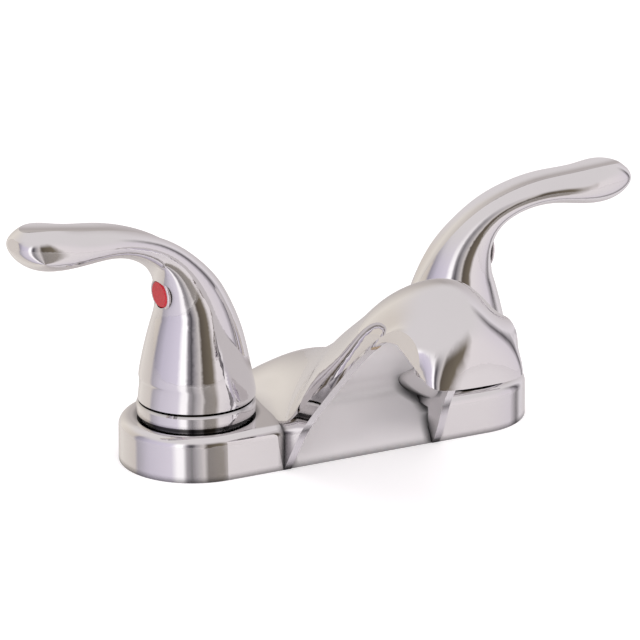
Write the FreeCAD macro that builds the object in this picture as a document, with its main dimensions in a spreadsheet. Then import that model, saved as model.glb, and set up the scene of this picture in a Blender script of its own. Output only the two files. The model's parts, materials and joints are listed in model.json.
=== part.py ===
"""Two-handle bathroom faucet on 4 inch centres, as a parametric assembly.

Frame: millimetres, origin on the deck face midway between the two handles,
+X towards the cold handle, -Y towards the user and the spout outlet, +Z up.
"""
import FreeCAD
import Part
import math
import os
import Sketcher

Vector = FreeCAD.Vector
doc = FreeCAD.newDocument("bathroom_faucet")
sheet = doc.addObject("Spreadsheet::Sheet", "Sheet")

# Driving dimensions: name, millimetres or degrees, and what it is
DIMENSIONS = [
    ("valve_centres", 101.6, "between the handle axes, the 4 inch standard"),
    ("base_width", 54.6, "front to back of the base"),
    ("base_height", 15.5, "deck to the flat top that carries the trim rings"),
    ("base_edge_radius", 3.5, "rounding of the base's top edge"),
    ("base_draft", 1.5, "lean of the base's outer wall"),
    ("wall", 2.8, "cast wall of the spout body"),
    ("gasket_height", 3.0, "thickness of the base gasket"),
    ("gasket_inset", 2.0, "gasket's edge to the inside of the base's wall"),
    ("fit_gap", 0.3, "clearance between loose-fitting pieces"),
    ("running_gap", 0.05, "radial clearance of the turning stem"),
    ("spout_root_half", 30.4, "half width of the spout where it leaves the base"),
    ("spout_nose_half", 18.6, "half width of the spout at the nose"),
    ("nose_lip_half", 17.3, "half width of the nose's lower front lip"),
    ("spout_height", 77.5, "deck to the spout's crest"),
    ("outlet_reach", 59.7, "base's front face to the outlet's axis"),
    ("section_overlap", 2.0, "how far the inner form runs out past the spout's open edges"),
    ("skirt_taper", 0.6, "how much the spout's sides lean in"),
    ("panel_margin", 5.0, "panel's edges past the spout's sides, behind the base's front wall"),
    ("panel_thickness", 1.8, "sheet of the underside panel"),
    ("ring_radius", 20.6, "outside of the trim ring"),
    ("ring_height", 5.4, "height of the trim ring"),
    ("ring_foot_height", 0.9, "undercut foot below the trim ring"),
    ("ring_undercut", 1.1, "how far that foot is set back"),
    ("ring_edge", 0.7, "chamfer round the trim ring's top"),
    ("handle_gap", 0.9, "turning gap between trim ring and handle"),
    ("bell_radius", 20.1, "bottom of the handle's bell"),
    ("bell_wall", 2.6, "wall of the handle's bell"),
    ("neck_radius", 12.0, "handle's neck under the lever"),
    ("neck_height", 58.0, "height of the neck above the deck"),
    ("bell_roof", 46.0, "top of the hollow inside the bell"),
    ("lever_reach", 66.3, "handle axis to the lever's tip"),
    ("lever_rise", 27.6, "neck to the lever's tip, in height"),
    ("lever_half_width", 12.0, "half width of the lever's paddle"),
    ("lever_half_thickness", 6.2, "half thickness of the lever"),
    ("lever_rest_angle", 9.5, "lever turned to the front at rest"),
    ("groove_radius", 15.0, "round of the groove along the lever"),
    ("groove_depth", 2.2, "depth of the groove along the lever"),
    ("button_radius", 4.7, "index button"),
    ("button_height", 60.4, "height of the index button"),
    ("button_depth", 2.4, "thickness of the index button"),
    ("button_edge", 0.5, "chamfer round the index button's face"),
    ("button_tilt", 4.0, "index button faces this far below level"),
    ("button_seat", 11.4, "handle axis to the index button's pocket floor"),
    ("screw_radius", 2.2, "handle set screw"),
    ("screw_height", 56.8, "height of the handle set screw"),
    ("screw_length", 4.6, "length of the handle set screw"),
    ("screw_socket", 1.2, "radius of the set screw's key socket"),
    ("stem_radius", 4.15, "cartridge stem"),
    ("stem_top", 60.0, "top of the cartridge stem"),
    ("disc_radius", 7.2, "moving ceramic disc"),
    ("disc_height", 3.0, "thickness of each ceramic disc"),
    ("foot_height", 2.5, "foot of the stem that drives the moving disc"),
    ("seat_height", 3.0, "valve seat above the deck"),
    ("seal_height", 3.0, "height of the seat seal"),
    ("port_radius", 4.6, "water passage through the valve seat"),
    ("port_angle", 80.0, "arc of each port in the ceramic discs"),
    ("barrel_radius", 11.0, "brass valve barrel"),
    ("barrel_bore", 8.6, "bore that takes the cartridge"),
    ("barrel_top", 24.0, "top of the valve barrel"),
    ("flange_radius", 10.3, "cartridge flange on the barrel's rim"),
    ("flange_height", 2.0, "thickness of the cartridge flange"),
    ("cartridge_neck", 6.4, "cartridge neck that guides the stem"),
    ("cartridge_top", 32.0, "top of the cartridge neck"),
    ("o_ring_height", 19.2, "o-ring round the cartridge, above the deck"),
    ("o_ring_section", 0.9, "radius of the o-ring's section"),
    ("o_ring_bite", 0.4, "how far the o-ring's centre line lies inside its groove"),
    ("bonnet_radius", 14.6, "bonnet nut across its corners"),
    ("bonnet_cap", 1.6, "bonnet nut above the cartridge flange"),
    ("shank_radius", 10.5, "inlet shank, half inch pipe thread"),
    ("shank_bore", 6.4, "waterway in the inlet shank"),
    ("shank_length", 48.0, "inlet shank below the deck"),
    ("supply_thread", 13.0, "free end of the shank that takes the supply hose's nut"),
    ("relief_height", 1.6, "groove between the mounting thread and the supply thread"),
    ("relief_depth", 0.9, "depth of that groove"),
    ("body_radius", 12.5, "lower valve body inside the base"),
    ("collar_radius", 14.5, "collar that clamps the casting from below"),
    ("collar_height", 3.7, "height of the clamping collar"),
    ("nut_radius", 18.5, "mounting nut across its corners"),
    ("nut_height", 11.0, "height of the mounting nut"),
    ("deck_thickness", 19.0, "deck or basin ledge between gasket and washer"),
    ("washer_radius", 20.0, "mounting washer"),
    ("washer_height", 2.4, "thickness of the mounting washer"),
    ("tube_radius", 3.5, "copper water tube"),
    ("tube_wall", 0.8, "wall of the copper water tube"),
    ("tee_width", 16.0, "side of the brass tee block"),
    ("tee_height", 12.0, "height of the brass tee block"),
    ("tee_setback", 4.0, "handle line to the tee's centre"),
    ("riser_corner", 0.335, "height where the spout tube turns forward, as a share of the spout's height"),
    ("riser_bend", 12.0, "bend radius of the spout tube"),
    ("riser_entry", 4.0, "outlet fitting's top to the centre of the spout tube in its wall"),
    ("outlet_height", 14.0, "height of the outlet fitting"),
    ("outlet_roof", 2.0, "thickness of the outlet fitting's closed top"),
    ("outlet_socket", 4.0, "how far the outlet fitting goes down into the aerator housing"),
    ("outlet_radius", 10.0, "outlet fitting"),
    ("boss_radius", 5.0, "boss inside the nose that the outlet fitting is screwed to"),
    ("outlet_bore", 6.0, "waterway in the outlet fitting"),
    ("outlet_chamfer", 4.5, "chamfer round the top of the outlet fitting"),
    ("socket_depth", 2.0, "how far each tube's end is brazed into its fitting"),
    ("aerator_radius", 11.6, "aerator housing"),
    ("aerator_drop", 1.5, "aerator's lowest rim below the nose's lip"),
    ("aerator_height", 11.2, "height of the aerator housing"),
    ("aerator_wall", 1.6, "wall of the aerator housing"),
    ("aerator_lip", 1.4, "inward lip that holds the aerator insert"),
    ("aerator_chamfer", 0.6, "chamfer round the aerator's lowest rim"),
    ("insert_height", 4.4, "height of the aerator insert"),
    ("insert_hole", 0.9, "radius of each jet hole in the insert"),
]
for row, (alias, value, meaning) in enumerate(DIMENSIONS, start=1):
    sheet.set("A%d" % row, str(value))
    sheet.setAlias("A%d" % row, alias)
    sheet.set("B%d" % row, meaning)
doc.recompute()


def size(expression):
    """The value of an expression of sheet names, in plain millimetres or degrees."""
    return float(sheet.evalExpression(expression))


def bind(item, name, expression):
    item.setExpression(name, expression)


def placement(x="0", y="0", z="0", yaw="0", pitch="0", roll="0"):
    """The expression of a placement, from expressions of sheet names."""
    return ("create(<<placement>>; create(<<vector>>; {}; {}; {});"
            " create(<<rotation>>; {}; {}; {}))").format(x, y, z, yaw, pitch, roll)


def place(item, x="0", y="0", z="0", yaw="0", pitch="0", roll="0"):
    """Bind the whole placement to expressions of sheet names."""
    item.setExpression("Placement", placement(x, y, z, yaw, pitch, roll))


def origin_plane(body, role):
    return [plane for plane in body.Origin.OriginFeatures if plane.Role == role][0]


def sketch_on(body, name, role):
    sketch = body.newObject("Sketcher::SketchObject", name)
    sketch.AttachmentSupport = [(origin_plane(body, role), "")]
    sketch.MapMode = "FlatFace"
    return sketch


def polygon(sketch, corners):
    """A closed outline whose corners are pairs of expressions."""
    points = [Vector(size(x), size(y), 0) for x, y in corners]
    count = len(points)
    for i in range(count):
        sketch.addGeometry(Part.LineSegment(points[i], points[(i + 1) % count]))
    for i in range(count):
        sketch.addConstraint(Sketcher.Constraint("Coincident", i, 2, (i + 1) % count, 1))
    for i, (x, y) in enumerate(corners):
        for kind, axis, text, value in (("DistanceX", -2, x, points[i].x), ("DistanceY", -1, y, points[i].y)):
            if text == "0":
                sketch.addConstraint(Sketcher.Constraint("PointOnObject", i, 1, axis))
            else:
                index = sketch.addConstraint(Sketcher.Constraint(kind, -1, 1, i, 1, value))
                sketch.setExpression("Constraints[%d]" % index, text)


def turned(name, corners):
    """A solid of revolution about Z from an outline of (radius, height) expressions."""
    body = doc.addObject("PartDesign::Body", name)
    sketch = sketch_on(body, name + "_profile", "XZ_Plane")
    polygon(sketch, corners)
    turn = body.newObject("PartDesign::Revolution", name + "_turn")
    turn.Profile = sketch
    turn.ReferenceAxis = (sketch, ["V_Axis"])
    turn.Angle = 360
    return body


def ring(name, inner, outer, low, high):
    """A plain turned ring between two radii and two heights."""
    return turned(name, [(inner, low), (outer, low), (outer, high), (inner, high)])


def slot_sketch(body, name, radius, half_centres):
    """A stadium: two half circles joined by straight sides, symmetric on both axes."""
    sketch = sketch_on(body, name, "XY_Plane")
    r, c = size(radius), size(half_centres)
    sketch.addGeometry(Part.ArcOfCircle(
        Part.Circle(Vector(c, 0, 0), Vector(0, 0, 1), r), -math.pi / 2, math.pi / 2))
    sketch.addGeometry(Part.LineSegment(Vector(c, r, 0), Vector(-c, r, 0)))
    sketch.addGeometry(Part.ArcOfCircle(
        Part.Circle(Vector(-c, 0, 0), Vector(0, 0, 1), r), math.pi / 2, 3 * math.pi / 2))
    sketch.addGeometry(Part.LineSegment(Vector(-c, -r, 0), Vector(c, -r, 0)))
    sketch.addConstraint([
        Sketcher.Constraint("Tangent", 0, 2, 1, 1),
        Sketcher.Constraint("Tangent", 1, 2, 2, 1),
        Sketcher.Constraint("Tangent", 2, 2, 3, 1),
        Sketcher.Constraint("Tangent", 3, 2, 0, 1),
        Sketcher.Constraint("PointOnObject", 0, 3, -1),
        Sketcher.Constraint("PointOnObject", 2, 3, -1)])
    for kind, args, text in (
            ("DistanceX", (-1, 1, 0, 3, c), half_centres),
            ("DistanceX", (2, 3, -1, 1, c), half_centres),
            ("Radius", (0, r), radius)):
        index = sketch.addConstraint(Sketcher.Constraint(kind, *args))
        sketch.setExpression("Constraints[%d]" % index, text)
    return sketch


def cut(name, base, tool):
    item = doc.addObject("Part::Cut", name)
    item.Base = base
    item.Tool = tool
    return item


def fuse(name, parts):
    item = doc.addObject("Part::MultiFuse", name)
    item.Shapes = parts
    return item


def common(name, parts):
    item = doc.addObject("Part::MultiCommon", name)
    item.Shapes = parts
    return item


def cylinder(name, radius, height, x="0", y="0", z="0", pitch="0", yaw="0"):
    item = doc.addObject("Part::Cylinder", name)
    bind(item, "Radius", radius)
    bind(item, "Height", height)
    place(item, x, y, z, yaw=yaw, pitch=pitch)
    return item


HALF = "Sheet.valve_centres / 2"
SIDES = [("hot", -1), ("cold", 1)]
LIP_SHARE = 0.649
OUTLET_Y = "(-Sheet.base_width / 2 - Sheet.outlet_reach)"
AERATOR_LOW = "(%g * Sheet.spout_height - Sheet.aerator_drop)" % LIP_SHARE
AERATOR_TOP = "(%s + Sheet.aerator_height)" % AERATOR_LOW
OUTLET_LOW = "(%s - Sheet.outlet_socket)" % AERATOR_TOP
OUTLET_TOP = "(%s + Sheet.outlet_height)" % OUTLET_LOW
parts = {}


def side_x(sign):
    return "%d * %s" % (sign, HALF)


def keep(name, item):
    """Give a finished sub-part the label that names its file."""
    item.Label = name
    parts[name] = item
    return item


# Spout body: each station is one cross section, in the plane through its arch and crest points.
# A point is (along, up): along counts from the base's front face, in outlet reaches ahead of it and
# in base widths behind it, and up is a share of the spout's height, and so is the shoulder.
# lean and lift shape the shoulder: lean pulls it in level, lift carries the side up.
# crown is how far the flat of the crest reaches out, and pinch narrows the nose to its lip.
STATIONS = [
    # arch point, crest point, shoulder above the arch line, lean, lift, crown, pinch
    ((-0.967, -0.181), (-0.967, 0.279), 0.364, 0.32, 0.29, 0.55, 0.00),
    ((-0.592, -0.181), (-0.592, 0.385), 0.364, 0.36, 0.17, 0.55, 0.00),
    ((-0.244, -0.155), (-0.244, 0.501), 0.348, 0.35, 0.11, 0.55, 0.00),
    ((0.000, 0.000), (0.000, 0.608), 0.219, 0.21, 0.25, 0.54, 0.00),
    ((0.246, 0.299), (0.246, 0.732), 0.093, 0.09, 0.42, 0.57, 0.00),
    ((0.514, 0.532), (0.514, 0.872), 0.034, 0.03, 0.52, 0.59, 0.00),
    ((0.732, 0.699), (0.732, 0.969), 0.018, 0.02, 0.54, 0.55, 0.00),
    ((0.858, 0.765), (0.950, 1.000), 0.039, 0.14, 0.41, 0.42, 0.00),
    ((0.925, 0.779), (1.122, 0.952), 0.084, 0.27, 0.32, 0.33, 0.20),
    ((0.972, 0.782), (1.235, 0.867), 0.123, 0.29, 0.32, 0.40, 0.50),
    ((0.993, 0.777), (1.290, 0.761), 0.142, 0.14, 0.56, 0.72, 0.80),
    ((1.008, 0.769), (1.312, LIP_SHARE), 0.155, 0.02, 0.82, 0.95, 1.00),
]


def centre_point(along, up):
    """A drawn point on the centre plane, in millimetres."""
    scale = "Sheet.outlet_reach" if along > 0 else "Sheet.base_width"
    return Vector(0, -size("Sheet.base_width / 2") - along * size(scale), up * size("Sheet.spout_height"))


def half_width(y):
    """Half width of the spout in plan: a straight taper from the base to the nose."""
    front = size("Sheet.base_width / 2")
    root, nose = size("Sheet.spout_root_half"), size("Sheet.spout_nose_half")
    along = (-y - front) / size("Sheet.outlet_reach")
    return root + (nose - root) * max(along, 0.0)


def section(station, inset, drop):
    """One closed cross section; inset moves it inside the wall, drop opens its lower side."""
    shoulder_share, lean, lift, crown, pinch = station[2:]
    arch = centre_point(*station[0])
    up = centre_point(*station[1]) - arch
    length = up.Length - inset
    up.normalize()
    wide = half_width(arch.y) - inset
    leaning = half_width(arch.y) - size("Sheet.skirt_taper")
    top_wide = leaning + pinch * (size("Sheet.nose_lip_half") - leaning) - inset
    shoulder = shoulder_share * size("Sheet.spout_height")
    rise = length - shoulder

    def at(x, r):
        return arch + up * r + Vector(x, 0, 0)

    left = [at(-top_wide, shoulder), at(-top_wide * (1 - lean), shoulder + lift * rise),
            at(-top_wide * crown, length), at(0, length)]
    right = [Vector(-p.x, p.y, p.z) for p in reversed(left)]
    edges = [Part.LineSegment(at(wide, -drop), at(-wide, -drop)).toShape(),
             Part.LineSegment(at(-wide, -drop), left[0]).toShape()]
    for poles in (left, right):
        curve = Part.BezierCurve()
        curve.setPoles(poles)
        edges.append(curve.toShape())
    edges.append(Part.LineSegment(right[-1], at(wide, -drop)).toShape())
    return Part.Wire(edges)


def spout_loft(name, inset, drop, beyond):
    """The spout's flowing form, or the space inside it, as a loft through the stations."""
    wires = []
    for number, station in enumerate(STATIONS):
        wire = doc.addObject("Part::Feature", "%s_section_%d" % (name, number))
        shape = section(station, inset, drop)
        if number == 0:
            shape.translate(Vector(0, -inset, 0))
        if number == len(STATIONS) - 1 and beyond:
            rim = centre_point(*station[1]) - centre_point(*station[0])
            shape.translate(Vector(0, -rim.z, rim.y).normalize() * beyond)
        wire.Shape = shape
        wires.append(wire)
    loft = doc.addObject("Part::Loft", name)
    loft.Sections = wires
    loft.Solid = True
    loft.Ruled = False
    return loft


def make_spout_body():
    base = doc.addObject("PartDesign::Body", "base_block")
    outline = slot_sketch(base, "base_outline", "Sheet.base_width / 2", HALF)
    block = base.newObject("PartDesign::Pad", "base_pad")
    block.Profile = outline
    bind(block, "Length", "Sheet.base_height")
    bind(block, "TaperAngle", "-Sheet.base_draft")
    doc.recompute()
    top_edges = ["Edge%d" % (i + 1) for i, edge in enumerate(block.Shape.Edges)
                 if edge.BoundBox.ZMin > size("Sheet.base_height") - 0.01]
    soft = base.newObject("PartDesign::Fillet", "base_soft_edge")
    soft.Base = (block, top_edges)
    bind(soft, "Radius", "Sheet.base_edge_radius")
    hollow_body = doc.addObject("PartDesign::Body", "base_hollow")
    inner = slot_sketch(hollow_body, "hollow_outline", "Sheet.base_width / 2 - Sheet.wall", HALF)
    hollow = hollow_body.newObject("PartDesign::Pad", "hollow_pad")
    hollow.Profile = inner
    bind(hollow, "Length", "Sheet.base_height - Sheet.wall")
    spout = spout_loft("spout_form", 0.0, 0.0, 0.0)
    below = doc.addObject("Part::Box", "below_deck")
    for side_name in ("Length", "Width", "Height"):
        bind(below, side_name, "2 * Sheet.valve_centres")
    place(below, "-Sheet.valve_centres", "-Sheet.valve_centres", "-2 * Sheet.valve_centres")
    above_deck = cut("spout_above_deck", spout, below)
    whole = fuse("body_outside", [base, above_deck])
    overlap = size("Sheet.section_overlap")
    inside = spout_loft("spout_inside", size("Sheet.wall"), overlap, overlap)
    shell = cut("shell_spout_open", whole, inside)
    shell = cut("shell_base_open", shell, hollow_body)
    for side, sign in SIDES:
        hole = cylinder(side + "_barrel_hole", "Sheet.barrel_radius + Sheet.fit_gap", "3 * Sheet.base_height",
                        x="%d * %s" % (sign, HALF), z="0")
        shell = cut(side + "_holed_shell", shell, hole)
    boss_post = cylinder("outlet_boss_post", "Sheet.boss_radius", "Sheet.spout_height", y=OUTLET_Y,
                         z=OUTLET_TOP)
    boss = common("outlet_boss", [boss_post, above_deck])
    return keep("spout_body", fuse("spout_body_solid", [shell, boss]))


BELL_BOTTOM = "(Sheet.base_height + Sheet.ring_height + Sheet.handle_gap)"
CASTING_ROOF = "(Sheet.base_height - Sheet.wall)"
FLANGE_TOP = "(Sheet.barrel_top + Sheet.flange_height)"
TUBE_LINE = "((Sheet.gasket_height + %s) / 2)" % CASTING_ROOF
DISC_SEAT = "(Sheet.seat_height + Sheet.seal_height)"
FOOT_TOP = "(Sheet.seat_height + Sheet.seal_height + 2 * Sheet.disc_height + Sheet.foot_height)"

# Handle sections up the bell: share of the way to the neck, share of the flare left
BELL = [(0.0, 1.0), (0.227, 0.937), (0.503, 0.69), (0.773, 0.35)]
ROOF_FLARE = 0.5
# where the neck bends into the lever: share of reach, share of rise, tilt, and of the neck's radius
NECK_BEND = [(0.035, 0.00, 19, 1.0, 1.02), (0.093, 0.306, 33, 0.731, 0.865)]
# and along the lever: share of reach, share of rise, tilt, share of thickness and width
LEVER = [
    (0.191, 0.580, 52, 1.02, 0.82),
    (0.342, 0.778, 68, 0.87, 0.88),
    (0.531, 0.876, 82, 0.91, 1.00),
    (0.727, 0.890, 85, 1.14, 1.00),
    (0.876, 0.946, 81, 1.23, 0.88),
    (0.957, 0.975, 80, 0.85, 0.70),
    (0.999, 1.00, 80, 0.33, 0.30),
]
# Groove along the upper face: tilt where it starts on the neck, its share of full depth there and
# at each section of the bend and the inner lever, and its straight run on to the tip, as a share of reach
GROOVE_TILT = 12
GROOVE = [0.0, 0.45, 0.75, 0.95, 1.0, 1.0]
GROOVE_RUN = 0.44


def bell_radius(flare):
    return "Sheet.neck_radius + %g * (Sheet.bell_radius - Sheet.neck_radius)" % flare


def bell_height(up):
    return "%s + %g * (Sheet.neck_height - %s)" % (BELL_BOTTOM, up, BELL_BOTTOM)


def groove_form(side, rows):
    """A round cutter swept along the upper face; a row is x, z, tilt and the cutter's share of depth."""
    radius, depth = size("Sheet.groove_radius"), size("Sheet.groove_depth")
    points = []
    for x, z, tilt, share in rows:
        away = radius - share * depth
        turn = math.radians(tilt)
        points.append(Vector(size(x) - away * math.cos(turn), 0, size(z) + away * math.sin(turn)))
    line = Part.BSplineCurve()
    line.interpolate(points)
    run = line.tangent(line.LastParameter)[0] * GROOVE_RUN * size("Sheet.lever_reach")
    path = doc.addObject("Part::Feature", side + "_groove_path")
    path.Shape = Part.Wire([line.toShape(), Part.LineSegment(points[-1], points[-1] + run).toShape()])
    circle = doc.addObject("Part::Circle", side + "_groove_circle")
    bind(circle, "Radius", "Sheet.groove_radius")
    ahead = line.tangent(line.FirstParameter)[0]
    circle.Placement = FreeCAD.Placement(points[0], FreeCAD.Rotation(Vector(0, 0, 1), ahead))
    sweep = doc.addObject("Part::Sweep", side + "_handle_groove")
    sweep.Sections = [circle]
    sweep.Spine = (path, ["Edge1", "Edge2"])
    sweep.Solid = True
    return sweep


def make_handle(side, sign):
    """One casting: bell, neck and lever, with the groove, the stem socket and the button's pocket."""
    sections = []
    for number, (up, flare) in enumerate(BELL):
        hoop = doc.addObject("Part::Ellipse", "%s_bell_section_%d" % (side, number))
        bind(hoop, "MajorRadius", bell_radius(flare))
        bind(hoop, "MinorRadius", bell_radius(flare))
        place(hoop, z=bell_height(up), yaw="90")
        sections.append(hoop)
    up, flare = BELL[-1]
    upper_face = [("-(%s)" % bell_radius(flare), bell_height(up), GROOVE_TILT, GROOVE[0])]
    rows = [row + ("Sheet.neck_radius", "Sheet.neck_radius") for row in NECK_BEND]
    rows += [row + ("Sheet.lever_half_thickness", "Sheet.lever_half_width") for row in LEVER]
    for number, (out, rise, tilt, thick, wide, full_half, full_wide) in enumerate(rows):
        x = "%g * Sheet.lever_reach" % out
        z = "Sheet.neck_height + %g * Sheet.lever_rise" % rise
        half = "%g * %s" % (thick, full_half)
        hoop = doc.addObject("Part::Ellipse", "%s_lever_section_%d" % (side, number))
        bind(hoop, "MajorRadius", "%g * %s" % (wide, full_wide))
        bind(hoop, "MinorRadius", half)
        place(hoop, x=x, z=z, yaw="90", roll="%d" % tilt)
        sections.append(hoop)
        if number + 1 < len(GROOVE):
            upper_face.append(("%s - %s * cos(%d deg)" % (x, half, tilt),
                               "%s + %s * sin(%d deg)" % (z, half, tilt), tilt, GROOVE[number + 1]))
    form = doc.addObject("Part::Loft", side + "_handle_form")
    form.Sections = sections
    form.Solid = True
    below = "%s - Sheet.handle_gap" % BELL_BOTTOM
    corners = [("0", below), (bell_radius(BELL[0][1]) + " - Sheet.bell_wall", below)]
    for up, flare in BELL[1:3]:
        corners.append((bell_radius(flare) + " - Sheet.bell_wall", bell_height(up)))
    corners.append((bell_radius(ROOF_FLARE) + " - Sheet.bell_wall", "Sheet.bell_roof"))
    corners.append(("0", "Sheet.bell_roof"))
    room = turned(side + "_bell_room", corners)
    socket_foot = "Sheet.bell_roof - Sheet.wall"
    socket = cylinder(side + "_stem_socket", "Sheet.stem_radius", "Sheet.stem_top - (%s)" % socket_foot,
                      z=socket_foot)
    pocket = cylinder(side + "_button_pocket", "Sheet.button_radius", "2 * Sheet.button_radius",
                      x="Sheet.button_seat", z="Sheet.button_height", pitch="90 + Sheet.button_tilt")
    screw_hole = cylinder(side + "_screw_hole", "Sheet.screw_radius",
                          "Sheet.button_seat + Sheet.button_depth / 2", z="Sheet.screw_height", pitch="90")
    tools = fuse(side + "_handle_tools", [room, socket, pocket, screw_hole])
    grooved = cut(side + "_handle_grooved", form, groove_form(side, upper_face))
    handle = cut(side + "_handle_cut", grooved, tools)
    stand(handle, sign)
    return keep(side + "_handle", handle)


def stand(item, sign, **local):
    """Put a piece, drawn about the handle's own axis with the lever along X, on its side's valve."""
    yaw = "-Sheet.lever_rest_angle" if sign > 0 else "180 + Sheet.lever_rest_angle"
    on_valve = placement(x=side_x(sign), yaw=yaw)
    item.setExpression("Placement", "%s * %s" % (on_valve, placement(**local)))


def make_index_button(side, sign):
    button = turned(side + "_button_solid", [
        ("0", "0"), ("Sheet.button_radius", "0"),
        ("Sheet.button_radius", "Sheet.button_depth - Sheet.button_edge"),
        ("Sheet.button_radius - Sheet.button_edge", "Sheet.button_depth"), ("0", "Sheet.button_depth")])
    stand(button, sign, x="Sheet.button_seat", z="Sheet.button_height", pitch="90 + Sheet.button_tilt")
    keep(side + "_index_button", button)


def make_handle_screw(side, sign):
    screw = turned(side + "_screw_solid", [
        ("0", "0"), ("Sheet.screw_radius", "0"), ("Sheet.screw_radius", "Sheet.screw_length"),
        ("Sheet.screw_socket", "Sheet.screw_length"), ("Sheet.screw_socket", "Sheet.screw_length / 2"),
        ("0", "Sheet.screw_length / 2")])
    stand(screw, sign, x="Sheet.stem_radius", z="Sheet.screw_height", pitch="90")
    keep(side + "_handle_screw", screw)


def make_stem(side, sign):
    foot = "%s + 2 * Sheet.disc_height" % DISC_SEAT
    stem = turned(side + "_stem_solid", [
        ("0", foot), ("Sheet.disc_radius", foot),
        ("Sheet.disc_radius", FOOT_TOP), ("Sheet.stem_radius", FOOT_TOP),
        ("Sheet.stem_radius", "Sheet.stem_top"), ("0", "Sheet.stem_top")])
    stand(stem, sign)
    keep(side + "_cartridge_stem", stem)


def make_discs(side, sign):
    """Two ceramic discs face to face; a quarter turn brings their paired ports in line."""
    for name, low, radius, turn in (
            ("fixed_disc", DISC_SEAT, "Sheet.disc_radius + Sheet.fit_gap", 0),
            ("moving_disc", "(%s + Sheet.disc_height)" % DISC_SEAT, "Sheet.disc_radius", 90)):
        disc = cylinder("%s_%s_blank" % (side, name), radius, "Sheet.disc_height", z=low)
        sectors = []
        for start in (turn, turn + 180):
            sector = doc.addObject("Part::Cylinder", "%s_%s_sector_%d" % (side, name, start))
            bind(sector, "Radius", "Sheet.port_radius + Sheet.fit_gap")
            bind(sector, "Height", "2 * Sheet.disc_height")
            bind(sector, "Angle", "Sheet.port_angle")
            place(sector, z="%s - Sheet.disc_height / 2" % low, yaw="%d - Sheet.port_angle / 2" % start)
            sectors.append(sector)
        hub = cylinder("%s_%s_hub" % (side, name), "Sheet.port_radius / 3", "4 * Sheet.disc_height",
                       z="%s - Sheet.disc_height" % low)
        ports = cut("%s_%s_ports" % (side, name), fuse("%s_%s_sectors" % (side, name), sectors), hub)
        solid = cut("%s_%s_solid" % (side, name), disc, ports)
        stand(solid, sign)
        keep("%s_%s" % (side, name), solid)


def o_ring_form(name):
    """The o-ring before the barrel's wall flattens it, and the groove that it lies in."""
    torus = doc.addObject("Part::Torus", name)
    bind(torus, "Radius1", "Sheet.barrel_bore - Sheet.o_ring_bite")
    bind(torus, "Radius2", "Sheet.o_ring_section")
    place(torus, z="Sheet.o_ring_height")
    return torus


def make_cartridge(side, sign):
    """Housing that guides the stem and holds the discs in the brass barrel."""
    bore = "Sheet.stem_radius + Sheet.running_gap"
    cage = "Sheet.disc_radius + Sheet.fit_gap"
    cage_top = FOOT_TOP + " + Sheet.fit_gap"
    housing = turned(side + "_housing_blank", [
        (cage, "Sheet.seat_height"), ("Sheet.barrel_bore", "Sheet.seat_height"),
        ("Sheet.barrel_bore", "Sheet.barrel_top"), ("Sheet.flange_radius", "Sheet.barrel_top"),
        ("Sheet.flange_radius", FLANGE_TOP), ("Sheet.cartridge_neck", FLANGE_TOP),
        ("Sheet.cartridge_neck", "Sheet.cartridge_top"), (bore, "Sheet.cartridge_top"),
        (bore, cage_top), (cage, cage_top)])
    window = cylinder(side + "_housing_window", "Sheet.disc_height / 2", "2 * Sheet.barrel_bore",
                      z=DISC_SEAT + " + 1.5 * Sheet.disc_height", pitch="%d" % (-90 * sign))
    groove = o_ring_form(side + "_o_ring_groove")
    open_housing = cut(side + "_housing_open", housing, window)
    solid = cut(side + "_housing_solid", open_housing, groove)
    place(solid, x=side_x(sign))
    keep(side + "_cartridge_housing", solid)
    wall_limit = cylinder(side + "_o_ring_limit", "Sheet.barrel_bore", "Sheet.barrel_top")
    o_ring = common(side + "_o_ring_solid", [o_ring_form(side + "_o_ring_form"), wall_limit])
    place(o_ring, x=side_x(sign))
    keep(side + "_o_ring", o_ring)
    seal = ring(side + "_seal_solid", "Sheet.port_radius", cage, "Sheet.seat_height", DISC_SEAT)
    place(seal, x=side_x(sign))
    keep(side + "_seat_seal", seal)


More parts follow.
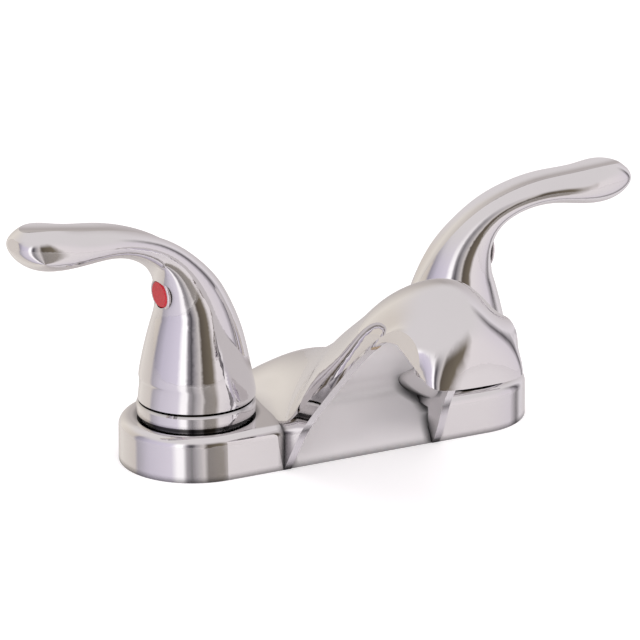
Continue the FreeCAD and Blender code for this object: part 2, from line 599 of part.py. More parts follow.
def make_valve_body(side, sign):
    """Turned brass: inlet shank, water seat, collar under the casting and cartridge barrel."""
    collar_low = "%s - Sheet.collar_height" % CASTING_ROOF
    relief_low = "-Sheet.shank_length + Sheet.supply_thread"
    relief_top = relief_low + " + Sheet.relief_height"
    relief = "Sheet.shank_radius - Sheet.relief_depth"
    blank = turned(side + "_valve_blank", [
        ("Sheet.shank_bore", "-Sheet.shank_length"), ("Sheet.shank_radius", "-Sheet.shank_length"),
        ("Sheet.shank_radius", relief_low), (relief, relief_low), (relief, relief_top),
        ("Sheet.shank_radius", relief_top), ("Sheet.shank_radius", "Sheet.gasket_height"),
        ("Sheet.body_radius", "Sheet.gasket_height"),
        ("Sheet.body_radius", collar_low), ("Sheet.collar_radius", collar_low),
        ("Sheet.collar_radius", CASTING_ROOF), ("Sheet.barrel_radius", CASTING_ROOF),
        ("Sheet.barrel_radius", "Sheet.barrel_top"), ("Sheet.barrel_bore", "Sheet.barrel_top"),
        ("Sheet.barrel_bore", "Sheet.seat_height"), ("Sheet.port_radius", "Sheet.seat_height"),
        ("Sheet.port_radius", "-Sheet.seat_height"), ("Sheet.shank_bore", "-Sheet.seat_height")])
    inward = "%d" % (-90 * sign)
    outlet = cylinder(side + "_valve_outlet", "Sheet.tube_radius - Sheet.tube_wall", "2 * Sheet.body_radius",
                      z=TUBE_LINE, pitch=inward)
    seat = cylinder(side + "_tube_seat", "Sheet.tube_radius", "2 * Sheet.body_radius",
                    x="%d * (Sheet.body_radius - Sheet.socket_depth)" % -sign, z=TUBE_LINE, pitch=inward)
    tools = fuse(side + "_valve_tools", [outlet, seat])
    body = cut(side + "_valve_solid", blank, tools)
    place(body, x=side_x(sign))
    keep(side + "_valve_body", body)
    length = "%s - Sheet.body_radius + Sheet.socket_depth - Sheet.tee_width / 2 + Sheet.socket_depth" % HALF
    start = "%d * (%s - Sheet.body_radius + Sheet.socket_depth)" % (sign, HALF)
    outer = cylinder(side + "_tube_outer", "Sheet.tube_radius", length, x=start, z=TUBE_LINE, pitch=inward)
    inner = cylinder(side + "_tube_inner", "Sheet.tube_radius - Sheet.tube_wall", length, x=start,
                     z=TUBE_LINE, pitch=inward)
    keep(side + "_feed_tube", cut(side + "_tube_solid", outer, inner))


def make_bonnet_nut(side, sign):
    top = "%s + Sheet.bonnet_cap" % FLANGE_TOP
    hexagon = doc.addObject("Part::Prism", side + "_bonnet_hexagon")
    hexagon.Polygon = 6
    bind(hexagon, "Circumradius", "Sheet.bonnet_radius")
    bind(hexagon, "Height", "%s - Sheet.base_height" % top)
    place(hexagon, z="Sheet.base_height", yaw="30")
    thread = cylinder(side + "_bonnet_thread", "Sheet.barrel_radius", FLANGE_TOP)
    hole = cylinder(side + "_bonnet_hole", "Sheet.cartridge_neck + 2 * Sheet.running_gap",
                    "2 * Sheet.barrel_top", z="Sheet.base_height")
    tools = fuse(side + "_bonnet_tools", [thread, hole])
    nut = cut(side + "_bonnet_solid", hexagon, tools)
    place(nut, x=side_x(sign))
    keep(side + "_bonnet_nut", nut)


def make_trim_ring(side, sign):
    inner = "Sheet.bonnet_radius + 2 * Sheet.fit_gap"
    foot = "Sheet.ring_radius - Sheet.ring_undercut"
    shoulder = "Sheet.base_height + Sheet.ring_foot_height"
    top = "Sheet.base_height + Sheet.ring_height"
    trim = turned(side + "_trim_solid", [
        (inner, "Sheet.base_height"), (foot, "Sheet.base_height"), (foot, shoulder),
        ("Sheet.ring_radius", "%s + Sheet.fit_gap" % shoulder),
        ("Sheet.ring_radius", "%s - Sheet.ring_edge" % top),
        ("Sheet.ring_radius - Sheet.ring_edge", top), (inner, top)])
    place(trim, x=side_x(sign))
    keep(side + "_trim_ring", trim)


def make_mounting(side, sign):
    washer_low = "-Sheet.deck_thickness - Sheet.washer_height"
    washer = ring(side + "_washer_solid", "Sheet.shank_radius + Sheet.fit_gap", "Sheet.washer_radius",
                  washer_low, "-Sheet.deck_thickness")
    place(washer, x=side_x(sign))
    keep(side + "_mounting_washer", washer)
    hexagon = doc.addObject("Part::Prism", side + "_nut_hexagon")
    hexagon.Polygon = 6
    bind(hexagon, "Circumradius", "Sheet.nut_radius")
    bind(hexagon, "Height", "Sheet.nut_height")
    place(hexagon, z="%s - Sheet.nut_height" % washer_low)
    hole = cylinder(side + "_nut_hole", "Sheet.shank_radius", "3 * Sheet.nut_height",
                    z="%s - 2 * Sheet.nut_height" % washer_low)
    nut = cut(side + "_nut_solid", hexagon, hole)
    place(nut, x=side_x(sign))
    keep(side + "_mounting_nut", nut)


def make_gasket():
    body = doc.addObject("PartDesign::Body", "gasket_body")
    round_end = "Sheet.base_width / 2 - Sheet.wall - Sheet.gasket_inset"
    outline = slot_sketch(body, "gasket_outline", round_end, HALF)
    pad = body.newObject("PartDesign::Pad", "gasket_pad")
    pad.Profile = outline
    bind(pad, "Length", "Sheet.gasket_height")
    holes = [cylinder(side + "_gasket_hole", "Sheet.shank_radius", "4 * Sheet.gasket_height",
                      x=side_x(sign), z="-Sheet.gasket_height") for side, sign in SIDES]
    keep("base_gasket", cut("gasket_solid", body, fuse("gasket_holes", holes)))


def make_waterway():
    """Brass tee, copper spout tube and the brass fitting above the aerator."""
    tee_top = "Sheet.gasket_height + Sheet.tee_height"
    block = doc.addObject("Part::Box", "tee_block_form")
    bind(block, "Length", "Sheet.tee_width")
    bind(block, "Width", "Sheet.tee_width")
    bind(block, "Height", "Sheet.tee_height")
    place(block, "-Sheet.tee_width / 2", "-Sheet.tee_setback - Sheet.tee_width / 2", "Sheet.gasket_height")
    seats = []
    for side, sign in SIDES:
        seats.append(cylinder(side + "_tee_seat", "Sheet.tube_radius", "Sheet.tee_width",
                              x="%d * (Sheet.tee_width / 2 - Sheet.socket_depth)" % sign, z=TUBE_LINE,
                              pitch="%d" % (90 * sign)))
    cross = cylinder("tee_cross_bore", "Sheet.tube_radius - Sheet.tube_wall", "Sheet.tee_width",
                     x="-Sheet.tee_width / 2", z=TUBE_LINE, pitch="90")
    tube_foot = tee_top + " - Sheet.socket_depth"
    riser_seat = cylinder("tee_riser_seat", "Sheet.tube_radius", "Sheet.tee_height", y="-Sheet.tee_setback",
                          z=tube_foot)
    riser_bore = cylinder("tee_riser_bore", "Sheet.tube_radius - Sheet.tube_wall", "Sheet.tee_height",
                          y="-Sheet.tee_setback", z=TUBE_LINE)
    keep("tee_block", cut("tee_solid", block, fuse("tee_tools", seats + [cross, riser_seat, riser_bore])))

    corner = Vector(0, -size("Sheet.tee_setback"), size("Sheet.riser_corner * Sheet.spout_height"))
    end = Vector(0, size(OUTLET_Y + " + Sheet.outlet_radius - Sheet.socket_depth"),
                 size(OUTLET_TOP + " - Sheet.riser_entry"))
    ahead = (end - corner).normalize()
    slope = math.asin(ahead.z)
    bend = size("Sheet.riser_bend")
    half_turn = (math.pi / 2 - slope) / 2
    reach = bend * math.tan(half_turn)
    start = Vector(0, corner.y, size(tube_foot))
    arc_start = corner - Vector(0, 0, reach)
    arc_end = corner + ahead * reach
    centre = arc_start + Vector(0, -bend, 0)
    middle = centre + Vector(0, math.cos(half_turn), math.sin(half_turn)) * bend
    path = doc.addObject("Part::Feature", "spout_tube_path")
    path.Shape = Part.Wire([Part.LineSegment(start, arc_start).toShape(),
                            Part.Arc(arc_start, middle, arc_end).toShape(),
                            Part.LineSegment(arc_end, end).toShape()])
    sweeps = []
    for name, radius in (("outer", "Sheet.tube_radius"), ("inner", "Sheet.tube_radius - Sheet.tube_wall")):
        circle = doc.addObject("Part::Circle", "spout_tube_%s_circle" % name)
        bind(circle, "Radius", radius)
        place(circle, y="-Sheet.tee_setback", z=tube_foot)
        sweep = doc.addObject("Part::Sweep", "spout_tube_" + name)
        sweep.Sections = [circle]
        sweep.Spine = (path, ["Edge1", "Edge2", "Edge3"])
        sweep.Solid = True
        sweeps.append(sweep)
    keep("spout_tube", cut("spout_tube_solid", *sweeps))

    ceiling = OUTLET_TOP + " - Sheet.outlet_roof"
    blank = turned("outlet_blank", [
        ("Sheet.outlet_bore", OUTLET_LOW), ("Sheet.outlet_radius", OUTLET_LOW),
        ("Sheet.outlet_radius", OUTLET_TOP + " - Sheet.outlet_chamfer"),
        ("Sheet.outlet_radius - Sheet.outlet_chamfer", OUTLET_TOP), ("0", OUTLET_TOP),
        ("0", ceiling), ("Sheet.outlet_bore", ceiling)])
    place(blank, y=OUTLET_Y)
    outside = 2 * size("Sheet.outlet_radius")
    back = end - ahead * outside
    tools = []
    for name, radius, length in (
            ("socket", "Sheet.tube_radius", outside),
            ("passage", "Sheet.tube_radius - Sheet.tube_wall", outside + size("Sheet.outlet_bore"))):
        tool = doc.addObject("Part::Cylinder", "outlet_" + name)
        bind(tool, "Radius", radius)
        tool.Height = length
        tool.Placement = FreeCAD.Placement(back, FreeCAD.Rotation(Vector(0, 0, 1), ahead))
        tools.append(tool)
    keep("outlet_fitting", cut("outlet_solid", blank, fuse("outlet_tools", tools)))


# Jet holes of the aerator: circle as a share of the insert's radius, and how many lie on it
JET_CIRCLES = [(0.36, 6), (0.68, 12)]


def make_aerator():
    inner = "Sheet.aerator_radius - Sheet.aerator_wall"
    lip_top = AERATOR_LOW + " + Sheet.aerator_lip"
    lip_inner = inner + " - Sheet.aerator_lip"
    housing = turned("aerator_housing_solid", [
        (lip_inner, AERATOR_LOW), ("Sheet.aerator_radius - Sheet.aerator_chamfer", AERATOR_LOW),
        ("Sheet.aerator_radius", AERATOR_LOW + " + Sheet.aerator_chamfer"),
        ("Sheet.aerator_radius", AERATOR_TOP),
        (inner, AERATOR_TOP), (inner, lip_top), (lip_inner, lip_top)])
    place(housing, y=OUTLET_Y)
    keep("aerator_housing", housing)
    insert = cylinder("aerator_insert_blank", inner, "Sheet.insert_height", y=OUTLET_Y, z=lip_top)
    jets = []
    for circle, count in JET_CIRCLES:
        for number in range(count):
            angle = 360.0 * number / count
            jets.append(cylinder(
                "jet_%d_%d" % (count, number), "Sheet.insert_hole", "3 * Sheet.insert_height",
                x="%g * (%s) * cos(%g deg)" % (circle, inner, angle),
                y="%s + %g * (%s) * sin(%g deg)" % (OUTLET_Y, circle, inner, angle),
                z=lip_top + " - Sheet.insert_height"))
    keep("aerator_insert", cut("aerator_insert_solid", insert, fuse("aerator_jets", jets)))
    washer = ring("aerator_washer_solid", "Sheet.outlet_bore + Sheet.aerator_lip", inner,
                  lip_top + " + Sheet.insert_height", OUTLET_LOW)
    place(washer, y=OUTLET_Y)
    keep("aerator_washer", washer)


# Underside panel: its visible face on the centre plane, a deep scoop behind the base's front face
# that turns forward under the spout's arch; points are (along, up) as in the stations
PANEL_LINE = [(-0.005, 0.0), (-0.051, 0.065), (-0.123, 0.129), (-0.190, 0.188), (-0.225, 0.235),
              (-0.192, 0.284), (-0.051, 0.352), (0.179, 0.462), (0.514, 0.610), (0.782, 0.734),
              (0.916, 0.782), (1.084, 0.792), (1.251, 0.790)]


def make_underside_panel():
    """Curved sheet that closes the spout from below, trimmed to fit between its sides."""
    face_line = Part.BSplineCurve()
    face_points = [centre_point(*point) for point in PANEL_LINE]
    face_line.interpolate(face_points)
    thickness = size("Sheet.panel_thickness")
    inner_points = []
    for point in face_points:
        at = face_line.parameter(point)
        along = face_line.tangent(at)[0]
        inner_points.append(face_line.value(at) + Vector(0, along.z, -along.y).normalize() * thickness)
    inner_line = Part.BSplineCurve()
    inner_line.interpolate(inner_points)
    first, last = face_line.toShape(), inner_line.toShape()
    profile = doc.addObject("Part::Feature", "panel_profile")
    profile.Shape = Part.Wire([
        first, Part.LineSegment(face_line.EndPoint, inner_line.EndPoint).toShape(), last,
        Part.LineSegment(inner_line.StartPoint, face_line.StartPoint).toShape()])
    sheet_form = doc.addObject("Part::Extrusion", "panel_sheet")
    sheet_form.Base = profile
    sheet_form.DirMode = "Custom"
    sheet_form.Dir = Vector(1, 0, 0)
    half = "(Sheet.spout_root_half + Sheet.panel_margin)"
    bind(sheet_form, "LengthFwd", "2 * " + half)
    sheet_form.Symmetric = True
    sheet_form.Solid = True
    overlap = size("Sheet.section_overlap / 2")
    limit = spout_loft("panel_limit", size("Sheet.wall + Sheet.fit_gap / 2"), overlap, overlap)
    behind_wall = doc.addObject("Part::Box", "panel_behind_wall")
    foot = "Sheet.gasket_height + Sheet.fit_gap"
    bind(behind_wall, "Length", "2 * " + half)
    bind(behind_wall, "Width", "Sheet.base_width / 2 - Sheet.wall - Sheet.fit_gap")
    bind(behind_wall, "Height", "%s - Sheet.fit_gap - (%s)" % (CASTING_ROOF, foot))
    place(behind_wall, "-" + half, "-Sheet.base_width / 2 + Sheet.wall + Sheet.fit_gap", foot)
    trimmed = common("panel_trimmed", [sheet_form, fuse("panel_room", [limit, behind_wall])])
    hole = cylinder("panel_outlet_hole", "Sheet.aerator_radius", "Sheet.spout_height", y=OUTLET_Y,
                    z="%s - Sheet.spout_height / 2" % AERATOR_TOP)
    keep("spout_underside_panel", cut("panel_solid", trimmed, hole))


make_spout_body()
make_underside_panel()
make_gasket()
make_waterway()
make_aerator()
for side_name, side_sign in SIDES:
    make_handle(side_name, side_sign)
    make_index_button(side_name, side_sign)
    make_handle_screw(side_name, side_sign)
    make_stem(side_name, side_sign)
    make_discs(side_name, side_sign)
    make_cartridge(side_name, side_sign)
    make_valve_body(side_name, side_sign)
    make_bonnet_nut(side_name, side_sign)
    make_trim_ring(side_name, side_sign)
    make_mounting(side_name, side_sign)
doc.recompute()
for item in doc.Objects:
    if "Invalid" in item.State or "Error" in item.State:
        raise RuntimeError("failed: %s %s" % (item.Name, item.State))
os.makedirs("parts", exist_ok=True)
for name, item in parts.items():
    shape = item.Shape
    if shape.isNull() or not shape.isValid():
        raise RuntimeError("bad shape: " + name)
    print(name, len(shape.Solids), round(shape.Volume), shape.BoundBox)
    shape.exportStep("parts/%s.step" % name)
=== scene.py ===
"""Looks of the two-handle bathroom faucet: finishes, studio light and the camera."""
import json
import math

import bpy
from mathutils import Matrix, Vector


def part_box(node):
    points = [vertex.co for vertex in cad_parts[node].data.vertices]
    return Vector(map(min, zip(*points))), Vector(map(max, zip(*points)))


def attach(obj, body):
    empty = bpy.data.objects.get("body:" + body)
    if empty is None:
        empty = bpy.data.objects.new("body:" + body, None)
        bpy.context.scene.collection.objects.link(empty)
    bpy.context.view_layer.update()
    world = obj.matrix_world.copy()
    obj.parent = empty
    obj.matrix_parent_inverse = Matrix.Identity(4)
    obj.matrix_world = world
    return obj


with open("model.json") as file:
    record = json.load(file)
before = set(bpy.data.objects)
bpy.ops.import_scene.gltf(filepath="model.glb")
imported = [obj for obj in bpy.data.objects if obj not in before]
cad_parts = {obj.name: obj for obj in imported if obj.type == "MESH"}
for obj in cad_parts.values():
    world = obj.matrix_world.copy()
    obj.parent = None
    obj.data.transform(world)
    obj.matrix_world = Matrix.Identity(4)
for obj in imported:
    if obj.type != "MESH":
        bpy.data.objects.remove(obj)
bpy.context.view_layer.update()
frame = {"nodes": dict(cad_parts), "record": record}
nodes = frame["nodes"]
scene = bpy.context.scene
scene.view_settings.view_transform = "Standard"

MM = 0.001

# Camera of the photograph, in metres: it looks at TARGET from the front left
TARGET = Vector((0.0, 0.0, 0.030))
CAMERA_AZIMUTH = math.radians(26.31)
CAMERA_ELEVATION = math.radians(18.447)
CAMERA_DISTANCE = 0.67536
CAMERA_LENS = 107.05
CAMERA_SHIFT = (-0.0126, 0.0493)
CAMERA_SENSOR = 36.0
CAMERA_FAR = 20.0

# Walls that the plating mirrors: degrees round from the camera's side, left is minus, and the colour there
FRONT_HEADING = math.atan2(-math.cos(CAMERA_AZIMUTH), -math.sin(CAMERA_AZIMUTH))
SKY_BANDS = [
    (-180, (0.50, 0.46, 0.45)),
    (-140, (0.90, 0.85, 0.78)),
    (-100, (0.72, 0.66, 0.60)),
    (-92, (0.38, 0.36, 0.42)),
    (-70, (0.66, 0.62, 0.74)),
    (-34, (0.82, 0.77, 0.90)),
    (-25, (1.35, 1.33, 1.36)),
    (-17, (1.35, 1.33, 1.36)),
    (-11, (0.30, 0.28, 0.31)),
    (-4, (0.09, 0.085, 0.095)),
    (3, (0.36, 0.34, 0.36)),
    (14, (0.70, 0.66, 0.65)),
    (20, (0.12, 0.10, 0.08)),
    (40, (0.20, 0.17, 0.13)),
    (49, (0.92, 0.87, 0.88)),
    (100, (0.82, 0.77, 0.83)),
    (118, (0.12, 0.11, 0.12)),
    (132, (0.88, 0.84, 0.88)),
    (180, (0.50, 0.46, 0.45)),
]

# The ceiling takes over from the walls between these two heights of a ray's direction
CEILING = (0.82, 0.79, 0.80)
CEILING_FROM = 0.35
CEILING_FULL = 0.80

# The floor glows a little for the camera, and mirrored rays pass through it by the share FLOOR_CLEAR
FLOOR_HALF = 3.0
FLOOR_COLOUR = (0.86, 0.85, 0.85)
FLOOR_GLOW = 0.42
FLOOR_CLEAR = 0.75

# Name, place, size and watts of each lamp, all turned to TARGET
LAMPS = [
    ("softbox_above", (0.05, -0.35, 0.9), (0.5, 0.7), 1.6),
    ("softbox_left", (-0.9, -0.3, 0.45), (0.25, 0.9), 0.8),
    ("softbox_front", (-0.3, -0.9, 0.22), (0.6, 0.3), 2.2),
]

# Painted shade that darkens the plating's colour down in its joints and near the edges of the satin panel
# under the spout, and the panel's metal share
JOINT_DEPTH = 2.4 * MM
JOINT_FALL = 2.0
PAINTED_JOINT_SHADE = 0.08
JOINT_SAMPLES = 16
PANEL_DEPTH = 3.4 * MM
PANEL_FALL = 3.4
PANEL_METAL = 0.3

# Patterns of the finishes: a scale counts waves in a metre or so
NOISE_LOW = 0.3
NOISE_HIGH = 0.7
PLATE_TONE_SCALE = 22.0
PLATE_TONE = 0.96
PLATE_HAZE_SCALE = 160.0
PLATE_WAVE_SCALE = 34.0
PLATE_WAVE_HEIGHT = 0.12 * MM
PLATE_WAVE_STRENGTH = 0.25
METAL_TONE_SCALE = 60.0
METAL_TONE = 0.8
METAL_HAZE_SCALE = 120.0
METAL_HAZE = 0.14
TOOL_LINE_HEIGHT = 0.03 * MM
TOOL_LINE_STRENGTH = 0.5
MOULDED_TONE_SCALE = 45.0
MOULDED_TONE = 0.88
MOULDED_HAZE_SCALE = 200.0
MOULDED_HAZE = 0.1
GRAIN_HEIGHT = 0.05 * MM
GRAIN_STRENGTH = 0.4

# Rims round the index buttons and threads on the inlet shanks
VALVE_X = 50.8 * MM
BUTTON_TILT = math.radians(4.0)
RIM_RADIUS = 5.2 * MM
RIM_SECTION = 0.75 * MM
RIM_OFFSET = 0.2 * MM
RIM_STEPS = 48
RIM_CORNERS = 12
SHANK_RADIUS = 10.5 * MM
THREAD_PITCH = 1.8 * MM
THREAD_DEPTH = 0.35 * MM
THREAD_STEPS = 40

# Half widths of a thread's ridge as shares of its pitch, and where each thread starts and ends in height
THREAD_ROOT_HALF = 0.42
THREAD_CREST_HALF = 0.1
MOUNTING_THREAD = (-33.0 * MM, -4.0 * MM)
SUPPLY_THREAD = (-47.2 * MM, -35.6 * MM)

# Places of the colour sockets in a Mix node's list
MIX_FIRST = "6"
MIX_SECOND = "7"
MIX_RESULT = 2


def add_camera():
    data = bpy.data.cameras.new("camera")
    data.lens = CAMERA_LENS
    data.sensor_width = CAMERA_SENSOR
    data.shift_x, data.shift_y = CAMERA_SHIFT
    data.clip_end = CAMERA_FAR
    camera = bpy.data.objects.new("camera", data)
    flat = math.cos(CAMERA_ELEVATION)
    back = Vector((-math.sin(CAMERA_AZIMUTH) * flat, -math.cos(CAMERA_AZIMUTH) * flat,
                   math.sin(CAMERA_ELEVATION)))
    camera.location = TARGET + back * CAMERA_DISTANCE
    camera.rotation_euler = (-back).to_track_quat("-Z", "Y").to_euler()
    scene.collection.objects.link(camera)
    scene.camera = camera


class Tree:
    """Short way to write a node tree."""

    def __init__(self, tree):
        self.tree = tree

    def node(self, kind, settings=(), **inputs):
        item = self.tree.nodes.new("ShaderNode" + kind)
        for key, value in dict(settings).items():
            setattr(item, key, value)
        for key, value in inputs.items():
            self.feed(item, key.replace("_", " "), value)
        return item

    def feed(self, item, socket, value):
        target = item.inputs[int(socket)] if socket.isdigit() else item.inputs[socket]
        if isinstance(value, bpy.types.NodeSocket):
            self.tree.links.new(value, target)
        else:
            target.default_value = value

    def maths(self, operation, *values):
        item = self.node("Math", {"operation": operation})
        for number, value in enumerate(values):
            self.feed(item, str(number), value)
        return item.outputs[0]

    def mix(self, share, first, second):
        item = self.node("Mix", {"data_type": "RGBA"})
        self.tree.links.new(share, item.inputs["Factor"])
        self.feed(item, MIX_FIRST, first)
        self.feed(item, MIX_SECOND, second)
        return item.outputs[MIX_RESULT]


class Shader(Tree):
    """The node tree of one material, with patterns that lie on the object."""

    def __init__(self, name):
        self.material = bpy.data.materials.new(name)
        self.material.use_nodes = True
        super().__init__(self.material.node_tree)
        self.surface = self.tree.nodes["Principled BSDF"]

    def place(self):
        return self.node("TexCoord").outputs["Object"]

    def noise(self, scale, detail=3.0, rough=0.5):
        return self.node("TexNoise", Vector=self.place(), Scale=scale, Detail=detail,
                         Roughness=rough).outputs["Fac"]

    def spread(self, value, low, high):
        """Bring a noise value to the range from low to high."""
        item = self.node("MapRange", Value=value)
        self.feed(item, "From Min", NOISE_LOW)
        self.feed(item, "From Max", NOISE_HIGH)
        self.feed(item, "To Min", low)
        self.feed(item, "To Max", high)
        return item.outputs["Result"]

    def bump(self, height, distance, strength=1.0):
        item = self.node("Bump", Height=height, Distance=distance, Strength=strength)
        self.feed(self.surface, "Normal", item.outputs["Normal"])

    def set(self, **inputs):
        for key, value in inputs.items():
            self.feed(self.surface, key.replace("_", " "), value)
        return self


def rgba(colour):
    return (*colour, 1.0)


def chrome(name, colour, rough, haze=1.8, depth=JOINT_DEPTH, fall=JOINT_FALL, metallic=1.0):
    """Polished plate: a little uneven from the polishing wheel, with painted shade that darkens its colour
    down in the joints.
    """
    made = Shader(name)
    tint = made.mix(made.spread(made.noise(PLATE_TONE_SCALE), 0.0, 1.0), rgba(colour),
                    rgba([c * PLATE_TONE for c in colour]))
    # Painted shade: ambient occlusion darkens the plate's colour in joints and crevices, standing in for
    # the dark reflections there
    near = made.node("AmbientOcclusion", {"samples": JOINT_SAMPLES}, Distance=depth)
    shade = made.maths("POWER", near.outputs["AO"], fall)
    made.set(Base_Color=made.mix(shade, rgba([c * PAINTED_JOINT_SHADE for c in colour]), tint), Metallic=metallic,
             Roughness=made.spread(made.noise(PLATE_HAZE_SCALE, 5.0, 0.6), rough, rough * haze))
    made.bump(made.noise(PLATE_WAVE_SCALE, 2.0), PLATE_WAVE_HEIGHT, PLATE_WAVE_STRENGTH)
    return made.material


def metal(name, colour, rough, turned=900.0):
    """Turned or drawn metal with fine tool lines round Z and slightly dulled patches."""
    made = Shader(name)
    dull = made.spread(made.noise(METAL_TONE_SCALE, 4.0, 0.6), 0.0, 1.0)
    made.set(Base_Color=made.mix(dull, rgba(colour), rgba([c * METAL_TONE for c in colour])),
             Metallic=1.0,
             Roughness=made.spread(made.noise(METAL_HAZE_SCALE, 4.0), rough, rough + METAL_HAZE))
    lines = made.node("TexWave", {"bands_direction": "Z"}, Vector=made.place(), Scale=turned,
                      Distortion=0.6, Detail=2.0)
    made.bump(lines.outputs["Fac"], TOOL_LINE_HEIGHT, TOOL_LINE_STRENGTH)
    return made.material


def moulded(name, colour, rough, grain):
    """Rubber, ceramic or plastic with a fine surface grain."""
    made = Shader(name)
    tone = made.spread(made.noise(MOULDED_TONE_SCALE, 4.0), 0.0, 1.0)
    made.set(Base_Color=made.mix(tone, rgba(colour), rgba([c * MOULDED_TONE for c in colour])),
             Roughness=made.spread(made.noise(MOULDED_HAZE_SCALE), rough, rough + MOULDED_HAZE))
    made.bump(made.noise(grain, 3.0), GRAIN_HEIGHT, GRAIN_STRENGTH)
    return made.material


FINISHES = {
    "chrome": chrome("chrome_plate", (0.80, 0.78, 0.785), 0.03),
    # The satin panel under the spout gets a deeper, sharper painted shade near its edges
    "underside": chrome("chrome_underside", (0.92, 0.90, 0.905), 0.3, 1.2, PANEL_DEPTH, PANEL_FALL,
                        PANEL_METAL),
    "brass": metal("turned_brass", (0.80, 0.60, 0.30), 0.24),
    "copper": metal("drawn_copper", (0.86, 0.46, 0.32), 0.26, 300.0),
    "steel": metal("plated_steel", (0.62, 0.62, 0.64), 0.3),
    "rubber": moulded("black_rubber", (0.03, 0.03, 0.032), 0.6, 900.0),
    "ceramic": moulded("lapped_ceramic", (0.88, 0.87, 0.84), 0.16, 1500.0),
    "cartridge_plastic": moulded("cartridge_plastic", (0.42, 0.43, 0.45), 0.42, 700.0),
    "white_plastic": moulded("white_plastic", (0.86, 0.86, 0.84), 0.38, 700.0),
    "hot_red": moulded("hot_red_plastic", (0.62, 0.015, 0.03), 0.18, 700.0),
    # The rim's plate is paler and pinker than the chrome: a painted highlight along the pocket's edge
    "rim": chrome("button_rim_highlight_plate", (0.92, 0.86, 0.87), 0.14),
    "cold_blue": moulded("cold_blue_plastic", (0.02, 0.09, 0.5), 0.18, 700.0),
}


def finish_nodes():
    """Give each CAD node the finish of its material slot."""
    slots = {row["node"]: row["material_slot"] for row in frame["record"]["subparts"]}
    for name, item in nodes.items():
        item.data.materials.clear()
        item.data.materials.append(FINISHES[slots[name]])


def new_piece(name, verts, faces, body, material):
    """A smooth mesh that rides on a CAD body."""
    mesh = bpy.data.meshes.new(name)
    mesh.from_pydata(verts, [], faces)
    mesh.shade_smooth()
    mesh.materials.append(material)
    piece = bpy.data.objects.new(name, mesh)
    scene.collection.objects.link(piece)
    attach(piece, body)
    return piece


def swept(rings, closed):
    """Faces between rings of as many points each; closed joins the last ring to the first."""
    count = len(rings[0])
    verts = [point for ring in rings for point in ring]
    faces = []
    for number in range(len(rings) if closed else len(rings) - 1):
        after = (number + 1) % len(rings)
        for step in range(count):
            side = (step + 1) % count
            faces.append((number * count + step, number * count + side,
                          after * count + side, after * count + step))
    if not closed:
        faces.append(tuple(reversed(range(count))))
        faces.append(tuple(range(len(verts) - count, len(verts))))
    return verts, faces


def add_button_rim(side, body):
    """Thin rolled rim where the index button meets its pocket in the neck, plated paler and pinker than
    the rest as a painted highlight.
    """
    low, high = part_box(side + "_index_button")
    middle = (Vector(low) + Vector(high)) / 2
    axle = math.copysign(VALVE_X, middle.x)
    out = Vector((middle.x - axle, middle.y, 0)).normalized()
    out.z = -math.tan(BUTTON_TILT)
    out.normalize()
    across = Vector((-out.y, out.x, 0)).normalized()
    up = out.cross(across)
    foot = middle + out * RIM_OFFSET
    rings = []
    for step in range(RIM_STEPS):
        turn = 2 * math.pi * step / RIM_STEPS
        spoke = across * math.cos(turn) + up * math.sin(turn)
        centre = foot + spoke * RIM_RADIUS
        ring = []
        for corner in range(RIM_CORNERS):
            angle = 2 * math.pi * corner / RIM_CORNERS
            ring.append(centre + (spoke * math.cos(angle) + out * math.sin(angle)) * RIM_SECTION)
        rings.append(ring)
    verts, faces = swept(rings, True)
    return new_piece(side + "_button_rim", verts, faces, body, FINISHES["rim"])


def add_thread(side, name, low, high):
    """Rolled thread ridge on the inlet shank, from low to high below the deck."""
    axle = math.copysign(VALVE_X, -1 if side == "hot" else 1)
    root = SHANK_RADIUS - THREAD_DEPTH
    rings = []
    steps = int((high - low) / THREAD_PITCH * THREAD_STEPS)
    for step in range(steps + 1):
        turn = 2 * math.pi * step / THREAD_STEPS
        height = low + (high - low) * step / steps
        fade = min(1.0, step / THREAD_STEPS, (steps - step) / THREAD_STEPS)
        crest = SHANK_RADIUS + THREAD_DEPTH * fade
        ring = []
        for radius, rise in ((root, -THREAD_ROOT_HALF), (crest, -THREAD_CREST_HALF),
                             (crest, THREAD_CREST_HALF), (root, THREAD_ROOT_HALF)):
            ring.append((axle + radius * math.cos(turn), radius * math.sin(turn),
                         height + rise * THREAD_PITCH))
        rings.append(ring)
    verts, faces = swept(rings, False)
    return new_piece("%s_%s" % (side, name), verts, faces, "faucet", FINISHES["brass"])


def add_floor():
    """Pale floor that keeps the shadow, and that the plating mostly looks through."""
    half = FLOOR_HALF
    mesh = bpy.data.meshes.new("floor")
    mesh.from_pydata([(-half, -half, 0), (half, -half, 0), (half, half, 0), (-half, half, 0)], [],
                     [(0, 1, 2, 3)])
    floor = bpy.data.objects.new("floor", mesh)
    scene.collection.objects.link(floor)
    made = Shader("pale_floor")
    rays = made.node("LightPath")
    glow = made.maths("MULTIPLY", rays.outputs["Is Camera Ray"], FLOOR_GLOW)
    made.set(Base_Color=rgba(FLOOR_COLOUR), Roughness=1.0, Emission_Color=rgba((1, 1, 1)),
             Emission_Strength=glow)
    clear = made.maths("MULTIPLY", rays.outputs["Is Glossy Ray"], FLOOR_CLEAR)
    sheet = made.node("MixShader")
    made.feed(sheet, "0", clear)
    made.feed(sheet, "1", made.surface.outputs["BSDF"])
    made.feed(sheet, "2", made.node("BsdfTransparent").outputs["BSDF"])
    made.feed(made.tree.nodes["Material Output"], "Surface", sheet.outputs[0])
    mesh.materials.append(made.material)


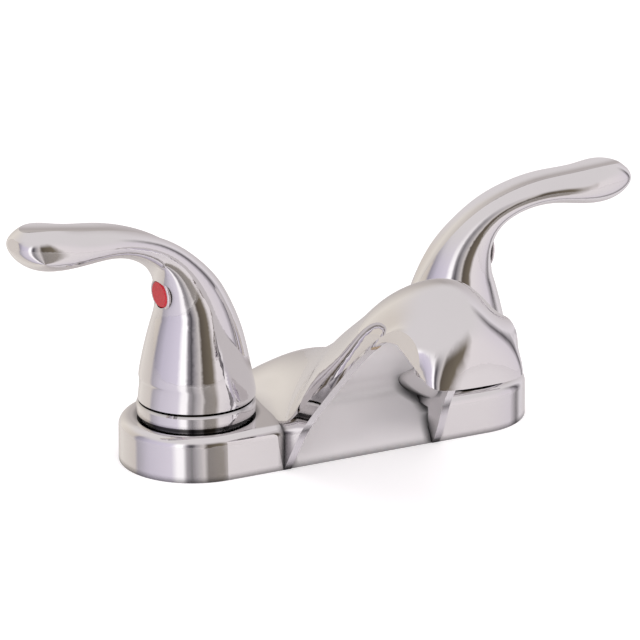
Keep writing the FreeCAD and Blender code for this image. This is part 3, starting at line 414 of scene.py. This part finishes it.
def add_light(name, place, size, power):
    """A soft lamp that lights the floor and the duller pieces, and that the plating doesn't mirror."""
    data = bpy.data.lights.new(name, "AREA")
    data.shape = "RECTANGLE"
    data.size, data.size_y = size
    data.energy = power
    lamp = bpy.data.objects.new(name, data)
    lamp.location = place
    lamp.rotation_euler = (TARGET - Vector(place)).to_track_quat("-Z", "Y").to_euler()
    lamp.visible_glossy = False
    scene.collection.objects.link(lamp)


def add_sky():
    """Walls of the studio, which the plating mirrors: upright bands of colour under a pale ceiling."""
    world = bpy.data.worlds.new("studio")
    scene.world = world
    world.use_nodes = True
    made = Tree(world.node_tree)
    split = made.node("SeparateXYZ", Vector=made.node("TexCoord").outputs["Generated"])
    heading = made.maths("ARCTAN2", split.outputs["Y"], split.outputs["X"])
    from_front = made.maths("WRAP", made.maths("SUBTRACT", heading, FRONT_HEADING), math.pi, -math.pi)
    share = made.maths("MULTIPLY_ADD", from_front, 0.5 / math.pi, 0.5)
    ramp = made.node("ValToRGB", Fac=share)
    bands = ramp.color_ramp
    while len(bands.elements) < len(SKY_BANDS):
        bands.elements.new(0.5)
    for element, (angle, colour) in zip(bands.elements, SKY_BANDS):
        element.position = angle / 360.0 + 0.5
        element.color = rgba(colour)
    climb = made.node("MapRange", {"interpolation_type": "SMOOTHSTEP"}, Value=split.outputs["Z"])
    made.feed(climb, "From Min", CEILING_FROM)
    made.feed(climb, "From Max", CEILING_FULL)
    walls = made.mix(climb.outputs["Result"], ramp.outputs["Color"], rgba(CEILING))
    camera_ray = made.node("LightPath").outputs["Is Camera Ray"]
    sky = made.mix(camera_ray, walls, rgba((1, 1, 1)))
    made.feed(world.node_tree.nodes["Background"], "Color", sky)


add_camera()
finish_nodes()
for side, body in (("hot", "hot_lever"), ("cold", "cold_lever")):
    add_button_rim(side, body)
    add_thread(side, "mounting_thread", *MOUNTING_THREAD)
    add_thread(side, "supply_thread", *SUPPLY_THREAD)
add_floor()
add_sky()
for lamp_name, lamp_place, lamp_size, lamp_power in LAMPS:
    add_light(lamp_name, lamp_place, lamp_size, lamp_power)
